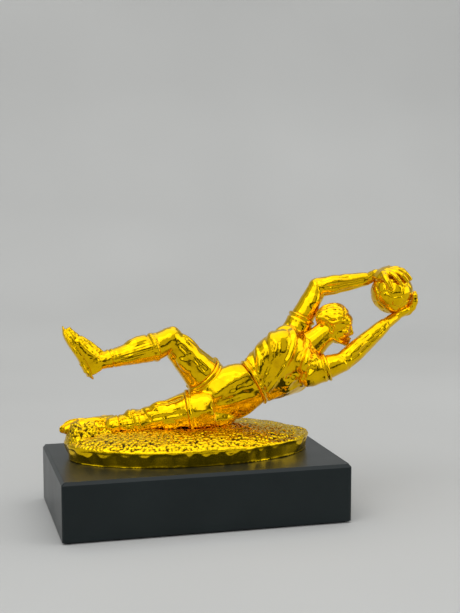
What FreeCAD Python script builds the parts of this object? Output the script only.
"""Figure trophy: a diving goalkeeper, plated, on a lacquered block.

Frame: millimetres, +Z up.  The origin is the centre of the underside, +X runs
along the block towards the ball, and the keeper's chest faces -Y.

The figure is a casting made in sections that meet where the dress ends (hems,
sock tops, boot collars, wrists).  A steel pin crosses every joint between two
sections, and two machine screws from below hold the turf mound to the block.
"""

import FreeCAD, Part
import Sketcher
import os

LEVEL_TOLERANCE = 1e-6

doc = FreeCAD.newDocument("figure_trophy")

# --------------------------------------------------------------------------
# Driving dimensions
# --------------------------------------------------------------------------
# Lengths are millimetres, and every *_turn and *_rise is in degrees: turn is
# the compass angle from +X towards +Y, rise is the angle above the horizon.

BLOCK = {
    "base_length": 140.0,
    "base_width": 82.0,
    "base_height": 29.0,
    "base_chamfer": 3.0,
    "base_corner_radius": 1.5,
    "pad_thickness": 1.0,
    "pad_inset": 2.0,
}

FASTENERS = {
    "screw_spacing": 60.0,
    "screw_line_y": 3.5,
    "screw_diameter": 4.0,
    "screw_engagement": 5.2,
    "screw_head_diameter": 8.0,
    "screw_head_height": 3.1,
    "screw_slot_width": 1.2,
    "screw_slot_depth": 1.4,
    "screw_hole_clearance": 0.5,
    "washer_diameter": 9.0,
    "washer_thickness": 0.8,
    "counterbore_diameter": 10.0,
    "counterbore_depth": 15.0,
    "insert_diameter": 6.0,
    "insert_length": 7.0,
    "thread_gap": 0.1,
    "pin_diameter": 2.0,
    "pin_length": 9.0,
    "palm_pin_length": 5.0,
    "pin_gap": 0.1,
    "seat_pin_diameter": 3.0,
    "seat_pin_length": 11.0,
    "seat_pin_spacing": 12.0,
    "seat_pin_setback": 4.0,
}

MOUND = {
    "mound_length": 126.0,
    "mound_width": 67.0,
    "mound_centre_x": -0.5,
    "mound_centre_y": 3.5,
    "mound_rim_height": 8.5,
    "mound_height": 14.6,
    "mound_edge_draft": 1.8,
    "mound_lean": 3.0,
    "mound_ledge": 0.8,
    "mound_dome_sink": 0.4,
}

TORSO = {
    "pelvis_x": 15.3,
    "pelvis_y": 0.0,
    "pelvis_height": 29.8,
    "loin_length": 16.5,
    "loin_turn": -3.0,
    "loin_rise": 16.0,
    "ribs_length": 20.5,
    "ribs_turn": 2.0,
    "ribs_rise": 30.0,
    "shoulders_length": 14.0,
    "shoulders_turn": 2.0,
    "shoulders_rise": 32.0,
    "torso_twist": 24.0,
    "hip_half_width": 15.0,
    "hip_half_depth": 10.0,
    "hip_sag": 1.4,
    "belt_half_width": 15.0,
    "belt_half_depth": 9.6,
    "hip_half_length": 11.5,
    "waist_half_width": 12.8,
    "waist_half_depth": 9.0,
    "shirt_overhang": 0.7,
    "belly_half_width": 16.8,
    "belly_half_depth": 10.6,
    "chest_half_width": 19.4,
    "chest_half_depth": 11.0,
    "yoke_half_width": 16.2,
    "yoke_half_depth": 9.0,
    "collar_radius": 6.2,
}

HEAD = {
    "neck_length": 18.0,
    "neck_turn": -8.0,
    "neck_rise": 37.0,
    "neck_radius": 4.9,
    "head_half_length": 9.6,
    "head_half_width": 7.6,
    "head_half_height": 9.8,
    "head_tilt": 8.0,
    "head_turn": -25.0,
    "jaw_forward": 2.6,
    "jaw_drop": 5.6,
    "jaw_half_length": 6.2,
    "jaw_half_width": 5.4,
    "jaw_half_height": 5.6,
    "nose_forward": 9.2,
    "nose_drop": 2.4,
    "nose_length": 2.2,
    "nose_half_width": 1.3,
    "ear_radius": 2.2,
    "ear_thickness": 0.9,
}

ARMS = {
    "right_shoulder_length": 17.0,
    "right_shoulder_turn": 50.0,
    "right_shoulder_rise": 51.0,
    "left_shoulder_length": 14.0,
    "left_shoulder_turn": -37.0,
    "left_shoulder_rise": -19.5,
    "sleeve_length": 9.5,
    "shoulder_radius": 7.2,
    "sleeve_radius": 6.8,
    "upper_arm_radius": 6.1,
    "elbow_radius": 5.0,
    "forearm_radius": 4.9,
    "wrist_radius": 3.3,
    "right_upper_arm_length": 26.5,
    "right_upper_arm_turn": 8.0,
    "right_upper_arm_rise": 60.0,
    "right_forearm_length": 27.0,
    "right_forearm_turn": -9.0,
    "right_forearm_rise": 9.5,
    "left_upper_arm_length": 16.8,
    "left_upper_arm_turn": -14.0,
    "left_upper_arm_rise": 18.0,
}

BALL = {
    "ball_radius": 11.0,
    "ball_seam_depth": 0.35,
    "right_grip_turn": -26.0,
    "right_grip_rise": -30.0,
    "left_grip_turn": -130.0,
    "left_grip_rise": -58.6,
    "right_grip_gap": 3.0,
    "left_grip_gap": 6.8,
    "right_palm_turn": 178.0,
    "right_palm_rise": 62.0,
    "left_palm_turn": -30.0,
    "left_palm_rise": -68.0,
    "palm_half_length": 5.6,
    "palm_half_width": 4.9,
    "palm_half_thickness": 2.3,
    "palm_stand_off": 0.9,
    "finger_radius": 1.25,
    "finger_fan": 17.0,
    "finger_start": 15.0,
    "finger_sweep": 72.0,
    "thumb_fan": 75.0,
    "thumb_sweep": 32.0,
}

LEGS = {
    "right_hip_length": 5.6,
    "right_hip_turn": 130.0,
    "right_hip_rise": 35.0,
    "left_hip_length": 8.5,
    "left_hip_turn": -147.0,
    "left_hip_rise": -40.0,
    "raised_thigh_length": 33.8,
    "raised_thigh_turn": -173.0,
    "raised_thigh_rise": 47.0,
    "raised_calf_length": 34.4,
    "raised_calf_turn": -175.0,
    "raised_calf_rise": -14.0,
    "trailing_thigh_length": 32.5,
    "trailing_thigh_turn": 168.0,
    "trailing_thigh_rise": -11.0,
    "trailing_calf_length": 18.0,
    "trailing_calf_turn": 176.0,
    "trailing_calf_rise": -9.0,
    "raised_hem_length": 9.5,
    "trailing_hem_length": 12.5,
    "hem_radius": 9.8,
    "hem_overhang": 0.6,
    "mid_thigh_radius": 7.8,
    "knee_radius": 6.5,
    "raised_sock_top_length": 8.0,
    "trailing_sock_top_length": 5.0,
    "calf_radius": 7.0,
    "shin_radius": 5.6,
    "ankle_radius": 4.2,
    "trailing_ankle_radius": 4.6,
    "boot_collar_length": 3.0,
    "raised_foot_turn": 178.0,
    "raised_foot_rise": 63.0,
    "trailing_foot_turn": 190.0,
    "trailing_foot_rise": -4.0,
    "foot_length": 22.5,
    "foot_back": 3.2,
    "foot_drop": 6.8,
    "heel_half_width": 3.9,
    "heel_half_height": 4.5,
    "instep_half_width": 4.6,
    "instep_half_height": 5.4,
    "toe_half_height": 2.9,
    "toe_cap_length": 4.0,
    "toe_drop": 8.4,
    "instep_drop": 5.8,
    "calf_sag": 1.3,
    "raised_foot_roll": 0.0,
    "trailing_foot_roll": -90.0,
}

sheet = doc.addObject("Spreadsheet::Sheet", "Dims")
row = 1
for group in (BLOCK, FASTENERS, MOUND, TORSO, HEAD, ARMS, BALL, LEGS):
    for alias, value in group.items():
        sheet.set(f"A{row}", alias)
        sheet.set(f"B{row}", str(value))
        sheet.setAlias(f"B{row}", alias)
        row += 1
doc.recompute()


# --------------------------------------------------------------------------
# Skeleton: joints are points, bones are frames whose Z runs joint to joint
# --------------------------------------------------------------------------

pose = doc.addObject("App::VarSet", "Pose")


def joint(name, parent, reach, length=None):
    """Add a point one reach away from its parent; the reach has length, turn and rise."""
    pose.addProperty("App::PropertyPlacement", name, "Joints")
    length = length or f"Dims.{reach}_length"
    turn = f"Dims.{reach}_turn"
    rise = f"Dims.{reach}_rise"
    offset = (f"vector({length} * cos({turn}) * cos({rise}); "
              f"{length} * sin({turn}) * cos({rise}); {length} * sin({rise}))")
    pose.setExpression(name, f"placement({parent}.Base + {offset}; rotation(0; 0; 0))")
    doc.recompute()


def bone(name, start, end, twist="0"):
    """Add a frame at the start joint with Z towards the end joint, and its span."""
    pose.addProperty("App::PropertyFloat", f"{name}_span", "Bones")
    pose.addProperty("App::PropertyPlacement", name, "Bones")
    run_x = f"({end}.Base.x - {start}.Base.x)"
    run_y = f"({end}.Base.y - {start}.Base.y)"
    run_z = f"({end}.Base.z - {start}.Base.z)"
    pose.setExpression(f"{name}_span", f"sqrt({run_x}^2 + {run_y}^2 + {run_z}^2) / 1 mm")
    doc.recompute()
    aim = f"rotation(atan2({run_y}; {run_x}); acos({run_z} / {name}_span / 1 mm); 0)"
    pose.setExpression(
        name,
        f"placement({start}.Base; {aim}) * placement(vector(0; 0; 0); rotation({twist}; 0; 0))")
    doc.recompute()


pose.addProperty("App::PropertyPlacement", "pelvis", "Joints")
pose.setExpression(
    "pelvis",
    "placement(vector(Dims.pelvis_x; Dims.pelvis_y; Dims.base_height + Dims.pelvis_height);"
    " rotation(0; 0; 0))")

joint("waist", "pelvis", "loin")
joint("chest", "waist", "ribs")
joint("neck", "chest", "shoulders")
joint("skull", "neck", "neck")
bone("loin", "pelvis", "waist", "Dims.torso_twist")
bone("ribs", "waist", "chest", "Dims.torso_twist")
bone("yoke", "chest", "neck", "Dims.torso_twist")
bone("nape", "neck", "skull")

joint("right_shoulder", "chest", "right_shoulder")
joint("right_elbow", "right_shoulder", "right_upper_arm")
joint("right_wrist", "right_elbow", "right_forearm")
bone("right_upper_arm", "right_shoulder", "right_elbow")
bone("right_forearm", "right_elbow", "right_wrist")

# The ball lies one grip beyond the right wrist, and the left wrist follows the ball.
joint("ball", "right_wrist", "right_grip", "(Dims.ball_radius + Dims.right_grip_gap)")
joint("left_wrist", "ball", "left_grip", "(Dims.ball_radius + Dims.left_grip_gap)")

joint("left_shoulder", "chest", "left_shoulder")
joint("left_elbow", "left_shoulder", "left_upper_arm")
bone("left_upper_arm", "left_shoulder", "left_elbow")
bone("left_forearm", "left_elbow", "left_wrist")

joint("raised_hip", "pelvis", "right_hip")
joint("raised_knee", "raised_hip", "raised_thigh")
joint("raised_ankle", "raised_knee", "raised_calf")
bone("raised_thigh", "raised_hip", "raised_knee")
bone("raised_calf", "raised_knee", "raised_ankle")

joint("trailing_hip", "pelvis", "left_hip")
joint("trailing_knee", "trailing_hip", "trailing_thigh")
joint("trailing_ankle", "trailing_knee", "trailing_calf")
bone("trailing_thigh", "trailing_hip", "trailing_knee")
bone("trailing_calf", "trailing_knee", "trailing_ankle")

# Frames that stand at one joint: the palms at the ball's centre, the feet at the
# ankles and the head at the skull.
for side in ("right", "left"):
    pose.addProperty("App::PropertyPlacement", f"{side}_palm", "Frames")
    pose.setExpression(
        f"{side}_palm",
        f"placement(ball.Base; rotation(Dims.{side}_palm_turn; 90 - Dims.{side}_palm_rise; 0))"
        " * placement(vector(0; 0; 0); rotation(180; 0; 0))")
for leg in ("raised", "trailing"):
    pose.addProperty("App::PropertyPlacement", f"{leg}_foot", "Frames")
    pose.setExpression(
        f"{leg}_foot",
        f"placement({leg}_ankle.Base; rotation(Dims.{leg}_foot_turn; 90 - Dims.{leg}_foot_rise; 0))"
        f" * placement(vector(0; 0; 0); rotation(Dims.{leg}_foot_roll; 0; 0))")
pose.addProperty("App::PropertyPlacement", "head", "Frames")
pose.setExpression("head", "placement(skull.Base; rotation(Dims.head_turn; Dims.head_tilt; 0))")
doc.recompute()


# --------------------------------------------------------------------------
# Building blocks
# --------------------------------------------------------------------------

def place(item, frame, x="0", y="0", z="0", turn="0; 0; 0"):
    """Bind an object's Placement to a skeleton frame and an offset in that frame."""
    item.setExpression(
        "Placement", f"{frame} * placement(vector({x}; {y}; {z}); rotation({turn}))")
    return item


def oval(name, frame, along, wide, deep, shift="0", turn="0; 0; 0"):
    """An ellipse across a frame; wide is the larger radius and lies on the frame's X."""
    item = doc.addObject("Part::Ellipse", name)
    item.setExpression("MajorRadius", wide)
    item.setExpression("MinorRadius", deep)
    return place(item, frame, x=shift, z=along, turn=turn)


def loft(name, sections):
    """A smooth closed solid through ovals."""
    item = doc.addObject("Part::Loft", name)
    item.Sections = sections
    item.Solid = True
    item.Ruled = False
    return item


def limb(name, frame, stations):
    """A loft of round sections; each station is a distance, a radius and maybe a shift."""
    sections = []
    for count, (along, radius, *shift) in enumerate(stations, start=1):
        sections.append(oval(
            f"{name}_section_{count}", frame, along, radius, radius, *shift))
    return loft(name, sections)


def cylinder(name, frame, radius, height, z="0", x="0", y="0"):
    """A cylinder whose axis is the frame's Z."""
    item = doc.addObject("Part::Cylinder", name)
    item.setExpression("Radius", radius)
    item.setExpression("Height", height)
    return place(item, frame, x=x, y=y, z=z)


def ball_shape(name, frame, radius, x="0", y="0", z="0"):
    """A sphere."""
    item = doc.addObject("Part::Sphere", name)
    item.setExpression("Radius", radius)
    return place(item, frame, x=x, y=y, z=z)


def egg(name, frame, half_x, half_y, half_z, x="0", y="0", z="0"):
    """An ellipsoid; its largest cross-section must lie across the frame's Z."""
    item = doc.addObject("Part::Ellipsoid", name)
    item.setExpression("Radius2", half_x)
    item.setExpression("Radius3", half_y)
    item.setExpression("Radius1", half_z)
    item.Angle1 = -90
    item.Angle2 = 90
    item.Angle3 = 360
    return place(item, frame, x=x, y=y, z=z)


def fuse(name, shapes):
    """Several overlapping shapes as one."""
    item = doc.addObject("Part::MultiFuse", name)
    item.Shapes = shapes
    item.Refine = False
    return item


def cut(name, base, tools):
    """A shape less one tool or the union of several."""
    item = doc.addObject("Part::Cut", name)
    item.Base = base
    item.Tool = tools[0] if len(tools) == 1 else fuse(f"{name}_tools", tools)
    return item


def compound(name, shapes):
    """Separate solids that share one node."""
    item = doc.addObject("Part::Compound", name)
    item.Links = shapes
    return item


# A limb ends a little inside the ball of its joint, so the two surfaces cross.
JOINT_TAPER = 0.97

nodes = []


def publish(item, label):
    """Give a finished sub-part its node name."""
    item.Label = label
    nodes.append(item)
    return item


# --------------------------------------------------------------------------
# Block and pad
# --------------------------------------------------------------------------

HALF_SPACING = "Dims.screw_spacing / 2"
WASHER_TOP = "Dims.counterbore_depth"
screw_places = {"left": f"-{HALF_SPACING}", "right": HALF_SPACING}


def origin_plane(body, role):
    """One of a body's own origin planes."""
    for feature in body.Origin.OriginFeatures:
        if feature.Role == role:
            return feature
    raise LookupError(role)


def slab(name, length, width, height, level):
    """A body padded from a centred rectangle, standing on the given level."""
    body = doc.addObject("PartDesign::Body", name)
    sketch = body.newObject("Sketcher::SketchObject", f"{name}_sketch")
    sketch.AttachmentSupport = [(origin_plane(body, "XY_Plane"), "")]
    sketch.MapMode = "FlatFace"
    corners = [(-1, -1), (1, -1), (1, 1), (-1, 1)]
    points = [FreeCAD.Vector(10 * x, 10 * y, 0) for x, y in corners]
    for count in range(4):
        sketch.addGeometry(Part.LineSegment(points[count], points[(count + 1) % 4]))
    for count in range(4):
        sketch.addConstraint(
            Sketcher.Constraint("Coincident", count, 2, (count + 1) % 4, 1))
    sketch.addConstraint(Sketcher.Constraint("Horizontal", 0))
    sketch.addConstraint(Sketcher.Constraint("Horizontal", 2))
    sketch.addConstraint(Sketcher.Constraint("Vertical", 1))
    sketch.addConstraint(Sketcher.Constraint("Vertical", 3))
    sketch.addConstraint(Sketcher.Constraint("Symmetric", 0, 1, 1, 2, -1, 1))
    across = sketch.addConstraint(Sketcher.Constraint("DistanceX", 0, 1, 0, 2, 20.0))
    deep = sketch.addConstraint(Sketcher.Constraint("DistanceY", 1, 1, 1, 2, 20.0))
    sketch.setExpression(f"Constraints[{across}]", length)
    sketch.setExpression(f"Constraints[{deep}]", width)
    pad = body.newObject("PartDesign::Pad", f"{name}_pad")
    pad.Profile = sketch
    pad.setExpression("Length", height)
    body.setExpression("Placement", f"placement(vector(0; 0; {level}); rotation(0; 0; 0))")
    doc.recompute()
    return body, pad


def corner_edges(shape):
    """Names of the edges at a slab's corners: every edge that isn't level."""
    names = []
    for count, edge in enumerate(shape.Edges, start=1):
        levels = [vertex.Point.z for vertex in edge.Vertexes]
        if max(levels) - min(levels) > LEVEL_TOLERANCE:
            names.append(f"Edge{count}")
    return names


def top_face(shape):
    """Name of the highest flat face."""
    heights = [face.CenterOfMass.z for face in shape.Faces]
    return f"Face{heights.index(max(heights)) + 1}"


def round_corners(body, feature, radius):
    """Round the four corners of a slab."""
    fillet = body.newObject("PartDesign::Fillet", f"{body.Name}_corners")
    fillet.Base = (feature, corner_edges(feature.Shape))
    fillet.setExpression("Radius", radius)
    doc.recompute()
    return fillet


block_body, block_pad = slab(
    "block_blank", "Dims.base_length", "Dims.base_width",
    "Dims.base_height - Dims.pad_thickness", "Dims.pad_thickness")
block_edge = block_body.newObject("PartDesign::Chamfer", "block_edge")
block_edge.Base = (block_pad, [top_face(block_pad.Shape)])
block_edge.setExpression("Size", "Dims.base_chamfer")
doc.recompute()
round_corners(block_body, block_edge, "Dims.base_corner_radius")

block_holes = []
for side, offset in screw_places.items():
    place_at = f"placement(vector({offset}; Dims.screw_line_y; 0); rotation(0; 0; 0))"
    block_holes.append(cylinder(
        f"counterbore_{side}", place_at, "Dims.counterbore_diameter / 2",
        WASHER_TOP))
    block_holes.append(cylinder(
        f"screw_way_{side}", place_at,
        "(Dims.screw_diameter + Dims.screw_hole_clearance) / 2", "2 * Dims.base_height"))
publish(cut("base_block", block_body, block_holes), "base_block")

pad_body, pad_sheet = slab(
    "base_pad",
    "Dims.base_length - 2 * Dims.pad_inset",
    "Dims.base_width - 2 * Dims.pad_inset",
    "Dims.pad_thickness", "0")
round_corners(pad_body, pad_sheet, "Dims.base_corner_radius")
publish(pad_body, "base_pad")

# --------------------------------------------------------------------------
# Screws, washers and threaded inserts
# --------------------------------------------------------------------------

screws = []
washers = []
inserts = []
insert_holes = []
for side, offset in screw_places.items():
    place_at = f"placement(vector({offset}; Dims.screw_line_y; 0); rotation(0; 0; 0))"
    under_washer = f"{WASHER_TOP} - Dims.washer_thickness"
    shank = cylinder(
        f"screw_shank_{side}", place_at, "Dims.screw_diameter / 2",
        f"Dims.base_height + Dims.screw_engagement - ({under_washer})", z=under_washer)
    head = cylinder(
        f"screw_head_{side}", place_at, "Dims.screw_head_diameter / 2",
        "Dims.screw_head_height", z=f"{under_washer} - Dims.screw_head_height")
    slot = doc.addObject("Part::Box", f"screw_slot_{side}")
    slot.setExpression("Length", "Dims.screw_head_diameter + 2")
    slot.setExpression("Width", "Dims.screw_slot_width")
    slot.setExpression("Height", "Dims.screw_slot_depth")
    place(slot, place_at, x="-(Dims.screw_head_diameter + 2) / 2",
          y="-Dims.screw_slot_width / 2", z=f"{under_washer} - Dims.screw_head_height")
    screws.append(cut(f"screw_{side}", fuse(f"screw_blank_{side}", [shank, head]), [slot]))
    washers.append(cut(
        f"washer_{side}",
        cylinder(f"washer_disc_{side}", place_at, "Dims.washer_diameter / 2",
                 "Dims.washer_thickness", z=under_washer),
        [cylinder(f"washer_hole_{side}", place_at,
                  "(Dims.screw_diameter + Dims.screw_hole_clearance) / 2",
                  "Dims.base_height")]))
    inserts.append(cut(
        f"insert_{side}",
        cylinder(f"insert_body_{side}", place_at, "Dims.insert_diameter / 2",
                 "Dims.insert_length", z="Dims.base_height"),
        [cylinder(f"insert_bore_{side}", place_at,
                  "Dims.screw_diameter / 2 + Dims.thread_gap", "2 * Dims.base_height")]))
    insert_holes.append(cylinder(
        f"insert_hole_{side}", place_at, "Dims.insert_diameter / 2",
        "Dims.insert_length + 2", z="Dims.base_height - 1"))
publish(compound("mounting_screws", screws), "mounting_screws")
publish(compound("screw_washers", washers), "screw_washers")
publish(compound("threaded_inserts", inserts), "threaded_inserts")

# --------------------------------------------------------------------------
# Pins between the cast sections
# --------------------------------------------------------------------------

pin_bores = {}


def dowel(name, frame, middle, length="Dims.pin_length"):
    """A pin across a joint, with the slightly wider bore that both sections get."""
    start = f"{middle} - {length} / 2"
    pin = cylinder(name, frame, "Dims.pin_diameter / 2", length, z=start)
    bore = cylinder(
        f"{name}_bore", frame, "Dims.pin_diameter / 2 + Dims.pin_gap",
        f"{length} + 2 * Dims.pin_gap", z=f"{start} - Dims.pin_gap")
    pin_bores[name] = bore
    return publish(pin, name)


RAISED_HEM = "Dims.raised_hem_length"
TRAILING_HEM = "Dims.trailing_hem_length"
SLEEVE_END = "Dims.sleeve_length"
GRIP_MIDDLE = "Dims.ball_radius"

dowel("waist_pin", "Pose.ribs", "0")
dowel("neck_pin", "Pose.nape", "0")
dowel("raised_hip_pin", "Pose.raised_thigh", RAISED_HEM)
dowel("trailing_hip_pin", "Pose.trailing_thigh", TRAILING_HEM)
for leg in ("raised", "trailing"):
    dowel(f"{leg}_sock_pin", f"Pose.{leg}_calf", f"Dims.{leg}_sock_top_length")
    dowel(f"{leg}_ankle_pin", f"Pose.{leg}_calf",
          f"Pose.{leg}_calf_span - Dims.boot_collar_length")
for side in ("right", "left"):
    dowel(f"{side}_sleeve_pin", f"Pose.{side}_upper_arm", SLEEVE_END)
    dowel(f"{side}_wrist_pin", f"Pose.{side}_forearm", f"Pose.{side}_forearm_span",
          "Dims.palm_pin_length")
    dowel(f"{side}_palm_pin", f"Pose.{side}_palm", GRIP_MIDDLE, "Dims.palm_pin_length")

# --------------------------------------------------------------------------
# Shirt and shorts
# --------------------------------------------------------------------------

shirt_trunk = loft("shirt_trunk", [
    oval("shirt_hem", "Pose.ribs", "0",
         "Dims.waist_half_width + Dims.shirt_overhang",
         "Dims.waist_half_depth + Dims.shirt_overhang"),
    oval("shirt_belly", "Pose.ribs", "Pose.ribs_span / 2",
         "Dims.belly_half_width", "Dims.belly_half_depth"),
    oval("shirt_chest", "Pose.yoke", "0",
         "Dims.chest_half_width", "Dims.chest_half_depth"),
    oval("shirt_yoke", "Pose.yoke", "Pose.yoke_span * 0.6",
         "Dims.yoke_half_width", "Dims.yoke_half_depth"),
    oval("shirt_collar", "Pose.nape", "0", "Dims.collar_radius", "Dims.collar_radius"),
])
shirt_pieces = [shirt_trunk]
for side in ("right", "left"):
    frame = f"Pose.{side}_upper_arm"
    shirt_pieces.append(ball_shape(f"{side}_shoulder_cap", frame, "Dims.shoulder_radius"))
    shirt_pieces.append(limb(f"{side}_sleeve", frame, [
        ("0", f"Dims.shoulder_radius * {JOINT_TAPER}"),
        (SLEEVE_END, "Dims.sleeve_radius"),
    ]))
shirt_blank = fuse("shirt_blank", shirt_pieces)
shirt = cut("shirt", shirt_blank, [
    pin_bores["waist_pin"],
    pin_bores["neck_pin"],
    pin_bores["right_sleeve_pin"],
    pin_bores["left_sleeve_pin"],
])
publish(shirt, "shirt")

shorts_trunk = loft("shorts_trunk", [
    oval("shorts_seat", "Pose.loin", "-Dims.hip_half_length",
         "Dims.hip_half_width * 0.45", "Dims.hip_half_depth * 0.45",
         shift="Dims.hip_sag"),
    oval("shorts_buttock", "Pose.loin", "-Dims.hip_half_length * 0.65",
         "Dims.hip_half_width * 0.86", "Dims.hip_half_depth * 0.86",
         shift="Dims.hip_sag"),
    oval("shorts_hips", "Pose.loin", "0", "Dims.hip_half_width", "Dims.hip_half_depth",
         shift="Dims.hip_sag"),
    oval("shorts_belt", "Pose.loin", "Pose.loin_span * 0.55",
         "Dims.belt_half_width", "Dims.belt_half_depth", shift="Dims.hip_sag"),
    oval("shorts_waist", "Pose.ribs", "0", "Dims.waist_half_width", "Dims.waist_half_depth"),
])
shorts_legs = []
for leg, hem in (("raised", RAISED_HEM), ("trailing", TRAILING_HEM)):
    shorts_legs.append(limb(f"{leg}_shorts_leg", f"Pose.{leg}_thigh", [
        ("0", "Dims.hem_radius"),
        (hem, "Dims.hem_radius + Dims.hem_overhang"),
    ]))
shorts_blank = fuse("shorts_blank", [shorts_trunk] + shorts_legs)

seat_pins = []
seat_bores = []
for side, sign in (("left", "-"), ("right", "+")):
    foot = ("placement(vector("
            f"Dims.pelvis_x - Dims.seat_pin_setback {sign} Dims.seat_pin_spacing / 2;"
            " Dims.pelvis_y; Dims.base_height + Dims.mound_height); rotation(0; 0; 0))")
    seat_pins.append(cylinder(
        f"seat_pin_{side}", foot, "Dims.seat_pin_diameter / 2", "Dims.seat_pin_length",
        z="-Dims.seat_pin_length / 2"))
    seat_bores.append(cylinder(
        f"seat_bore_{side}", foot, "Dims.seat_pin_diameter / 2 + Dims.pin_gap",
        "Dims.seat_pin_length + 2 * Dims.pin_gap",
        z="-Dims.seat_pin_length / 2 - Dims.pin_gap"))
publish(compound("seat_pins", seat_pins), "seat_pins")
publish(cut("shorts", shorts_blank, seat_bores + [
    pin_bores["waist_pin"],
    pin_bores["raised_hip_pin"],
    pin_bores["trailing_hip_pin"],
]), "shorts")

# --------------------------------------------------------------------------
# Head
# --------------------------------------------------------------------------

neck = loft("neck_column", [
    oval("neck_foot", "Pose.nape", "0", "Dims.neck_radius", "Dims.neck_radius"),
    oval("neck_head", "Pose.nape", "Pose.nape_span", "Dims.neck_radius", "Dims.neck_radius"),
])
cranium = egg(
    "cranium", "Pose.head", "Dims.head_half_length", "Dims.head_half_width",
    "Dims.head_half_height")
jaw = egg(
    "jaw", "Pose.head", "Dims.jaw_half_length", "Dims.jaw_half_width",
    "Dims.jaw_half_height", x="Dims.jaw_forward", z="-Dims.jaw_drop")
nose = egg(
    "nose", "Pose.head", "Dims.nose_half_width", "Dims.nose_half_width",
    "Dims.nose_length", x="Dims.nose_forward", z="-Dims.nose_drop")
ears = []
for side, sign in (("right", ""), ("left", "-")):
    ears.append(egg(
        f"{side}_ear", "Pose.head", "Dims.ear_radius", "Dims.ear_thickness",
        "Dims.ear_radius", y=f"{sign}Dims.head_half_width", z="-Dims.nose_drop"))
publish(cut("head", fuse("head_blank", [neck, cranium, jaw, nose] + ears), [
    shirt_blank,
    pin_bores["neck_pin"],
]), "head")

# --------------------------------------------------------------------------
# Arms
# --------------------------------------------------------------------------

for side in ("right", "left"):
    upper = limb(f"{side}_upper_arm_tube", f"Pose.{side}_upper_arm", [
        (SLEEVE_END, "Dims.upper_arm_radius"),
        (f"Pose.{side}_upper_arm_span", f"Dims.elbow_radius * {JOINT_TAPER}"),
    ])
    elbow = ball_shape(f"{side}_elbow_ball", f"Pose.{side}_forearm", "Dims.elbow_radius")
    lower = limb(f"{side}_forearm_tube", f"Pose.{side}_forearm", [
        ("0", f"Dims.elbow_radius * {JOINT_TAPER}"),
        (f"Pose.{side}_forearm_span * 0.3", "Dims.forearm_radius"),
        (f"Pose.{side}_forearm_span", "Dims.wrist_radius"),
    ])
    publish(cut(f"{side}_arm", fuse(f"{side}_arm_blank", [upper, elbow, lower]), [
        pin_bores[f"{side}_sleeve_pin"],
        pin_bores[f"{side}_wrist_pin"],
    ]), f"{side}_arm")

# --------------------------------------------------------------------------
# Ball and hands
# --------------------------------------------------------------------------

ball_blank = ball_shape("ball_blank", "Pose.ball", "Dims.ball_radius")
ball_grooves = []
for name, turn in (("level", "0; 0; 0"), ("upright", "0; 90; 0"), ("across", "0; 0; 90")):
    groove = doc.addObject("Part::Torus", f"ball_groove_{name}")
    groove.setExpression("Radius1", "Dims.ball_radius")
    groove.setExpression("Radius2", "Dims.ball_seam_depth")
    ball_grooves.append(place(groove, "Pose.ball", turn=turn))
publish(cut("ball", ball_blank, ball_grooves + [
    pin_bores["right_palm_pin"],
    pin_bores["left_palm_pin"],
]), "ball")

FINGER_FRAME = "0; -90; -90"
FINGER_RING = "Dims.ball_radius + Dims.finger_radius * 0.75"
FINGERS = (("index", -1.5), ("middle", -0.5), ("ring", 0.5), ("little", 1.5))


def finger(name, palm, fan, sweep):
    """A finger bent round the ball: a piece of ring with a round tip."""
    spoke = f"{palm} * placement(vector(0; 0; 0); rotation({fan}; 0; 0))"
    lead_in = "Dims.finger_start"
    bend = doc.addObject("Part::Torus", name)
    bend.setExpression("Radius1", FINGER_RING)
    bend.setExpression("Radius2", "Dims.finger_radius")
    bend.setExpression("Angle3", f"{sweep} + {lead_in}")
    place(bend, spoke, turn=FINGER_FRAME)
    tip = ball_shape(
        f"{name}_tip", spoke, "Dims.finger_radius",
        x=f"({FINGER_RING}) * sin({sweep} + {lead_in})",
        z=f"({FINGER_RING}) * cos({sweep} + {lead_in})")
    return [bend, tip]


for side, thumb_side in (("right", "-"), ("left", "")):
    palm_frame = f"Pose.{side}_palm"
    hand_pieces = [egg(
        f"{side}_palm_pad", palm_frame, "Dims.palm_half_length", "Dims.palm_half_width",
        "Dims.palm_half_thickness", z="Dims.ball_radius + Dims.palm_stand_off")]
    hand_pieces.append(loft(f"{side}_hand_heel", [
        oval(f"{side}_hand_wrist", f"Pose.{side}_forearm", f"Pose.{side}_forearm_span",
             "Dims.wrist_radius", "Dims.wrist_radius"),
        oval(f"{side}_hand_root", f"Pose.{side}_forearm",
             f"Pose.{side}_forearm_span + Dims.palm_half_length",
             "Dims.wrist_radius", "Dims.wrist_radius * 0.8"),
    ]))
    for title, steps in FINGERS:
        hand_pieces += finger(
            f"{side}_{title}_finger", palm_frame, f"{steps} * Dims.finger_fan",
            "Dims.finger_sweep")
    hand_pieces += finger(
        f"{side}_thumb", palm_frame, f"{thumb_side}Dims.thumb_fan", "Dims.thumb_sweep")
    publish(cut(f"{side}_hand", fuse(f"{side}_hand_blank", hand_pieces), [
        ball_blank,
        pin_bores[f"{side}_wrist_pin"],
        pin_bores[f"{side}_palm_pin"],
    ]), f"{side}_hand")

# --------------------------------------------------------------------------
# Legs: thigh with knee, sock, boot
# --------------------------------------------------------------------------

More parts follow.
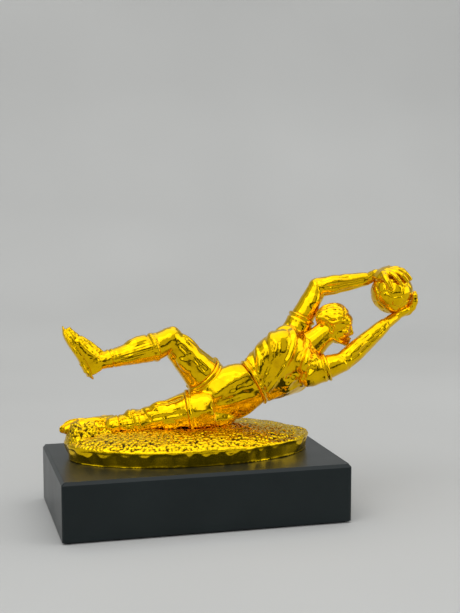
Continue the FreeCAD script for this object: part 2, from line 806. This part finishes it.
for leg, hem, ankle in (
        ("raised", RAISED_HEM, "Dims.ankle_radius"),
        ("trailing", TRAILING_HEM, "Dims.trailing_ankle_radius")):
    thigh_frame = f"Pose.{leg}_thigh"
    calf_frame = f"Pose.{leg}_calf"
    calf_span = f"Pose.{leg}_calf_span"
    sock_top = f"Dims.{leg}_sock_top_length"
    collar = f"{calf_span} - Dims.boot_collar_length"
    thigh_tube = limb(f"{leg}_thigh_tube", thigh_frame, [
        (hem, "Dims.hem_radius"),
        (f"(Pose.{leg}_thigh_span + {hem}) / 2", "Dims.mid_thigh_radius"),
        (f"Pose.{leg}_thigh_span", f"Dims.knee_radius * {JOINT_TAPER}"),
    ])
    knee = ball_shape(f"{leg}_knee_ball", calf_frame, "Dims.knee_radius")
    knee_stub = limb(f"{leg}_knee_stub", calf_frame, [
        ("0", f"Dims.knee_radius * {JOINT_TAPER}"),
        (sock_top, "Dims.knee_radius", "Dims.calf_sag"),
    ])
    sock_tube = limb(f"{leg}_sock_tube", calf_frame, [
        (sock_top, "Dims.calf_radius", "Dims.calf_sag"),
        (f"({sock_top} + {collar}) / 2", "Dims.shin_radius", "Dims.calf_sag * 0.6"),
        (collar, ankle),
    ])
    publish(cut(f"{leg}_thigh", fuse(f"{leg}_thigh_blank", [thigh_tube, knee, knee_stub]), [
        shorts_blank,
        sock_tube,
        pin_bores[f"{leg}_hip_pin"],
        pin_bores[f"{leg}_sock_pin"],
    ]), f"{leg}_thigh")
    publish(cut(f"{leg}_sock", sock_tube, [
        pin_bores[f"{leg}_sock_pin"],
        pin_bores[f"{leg}_ankle_pin"],
    ]), f"{leg}_sock")

    foot_frame = f"Pose.{leg}_foot"
    boot_collar = limb(f"{leg}_boot_collar", calf_frame, [
        (collar, f"{ankle} + Dims.hem_overhang"),
        (calf_span, f"{ankle} * {JOINT_TAPER}"),
    ])
    ankle_ball = ball_shape(f"{leg}_ankle_ball", calf_frame, ankle, z=calf_span)
    last = loft(f"{leg}_boot_last", [
        oval(f"{leg}_boot_heel", foot_frame, "-Dims.foot_back",
             "Dims.heel_half_height", "Dims.heel_half_width", shift="Dims.foot_drop"),
        oval(f"{leg}_boot_instep", foot_frame, "Dims.foot_length * 0.3",
             "Dims.instep_half_height", "Dims.instep_half_width", shift="Dims.instep_drop"),
        oval(f"{leg}_boot_ball", foot_frame, "Dims.foot_length - Dims.toe_cap_length",
             "Dims.toe_half_height", "Dims.toe_half_height", shift="Dims.toe_drop"),
        oval(f"{leg}_boot_toe", foot_frame, "Dims.foot_length",
             "Dims.toe_half_height * 0.5", "Dims.toe_half_height * 0.5",
             shift="Dims.toe_drop"),
    ])
    publish(cut(
        f"{leg}_boot", fuse(f"{leg}_boot_blank", [boot_collar, ankle_ball, last]),
        [sock_tube, pin_bores[f"{leg}_ankle_pin"]]), f"{leg}_boot")

# --------------------------------------------------------------------------
# Turf mound
# --------------------------------------------------------------------------

mound_foot = "placement(vector(Dims.mound_centre_x; Dims.mound_centre_y; Dims.base_height);" \
    " rotation(0; 0; 0))"
mound_wall = loft("mound_wall", [
    oval("mound_foot", mound_foot, "0", "Dims.mound_length / 2", "Dims.mound_width / 2"),
    oval("mound_rim", mound_foot, "Dims.mound_rim_height",
         "Dims.mound_length / 2 - Dims.mound_edge_draft",
         "Dims.mound_width / 2 - Dims.mound_edge_draft"),
])
mound_dome = egg(
    "mound_dome", mound_foot,
    "Dims.mound_length / 2 - Dims.mound_edge_draft - Dims.mound_lean",
    "Dims.mound_width / 2 - Dims.mound_edge_draft - Dims.mound_ledge",
    "Dims.mound_height - Dims.mound_rim_height + Dims.mound_dome_sink",
    x="-Dims.mound_lean * 0.5", z="Dims.mound_rim_height - Dims.mound_dome_sink")
mound_blank = fuse("mound_blank", [mound_wall, mound_dome])
publish(cut("turf_mound", mound_blank, insert_holes + seat_bores + [
    shorts_blank,
    doc.getObject("trailing_thigh_blank"),
    doc.getObject("trailing_sock_tube"),
    doc.getObject("trailing_boot_blank"),
]), "turf_mound")

doc.recompute()

# --------------------------------------------------------------------------
# Check and write
# --------------------------------------------------------------------------

for item in doc.Objects:
    faults = [state for state in item.State if state in ("Invalid", "Error")]
    if faults:
        raise RuntimeError(f"{item.Name}: {faults}")
for item in nodes:
    if item.Shape.isNull() or not item.Shape.isValid() or not item.Shape.Solids:
        raise RuntimeError(f"{item.Label}: shape is null, empty or not valid")

os.makedirs("parts", exist_ok=True)
for item in nodes:
    item.Shape.exportStep(f"parts/{item.Label}.step")
    print(item.Label, len(item.Shape.Solids), round(item.Shape.Volume, 1))
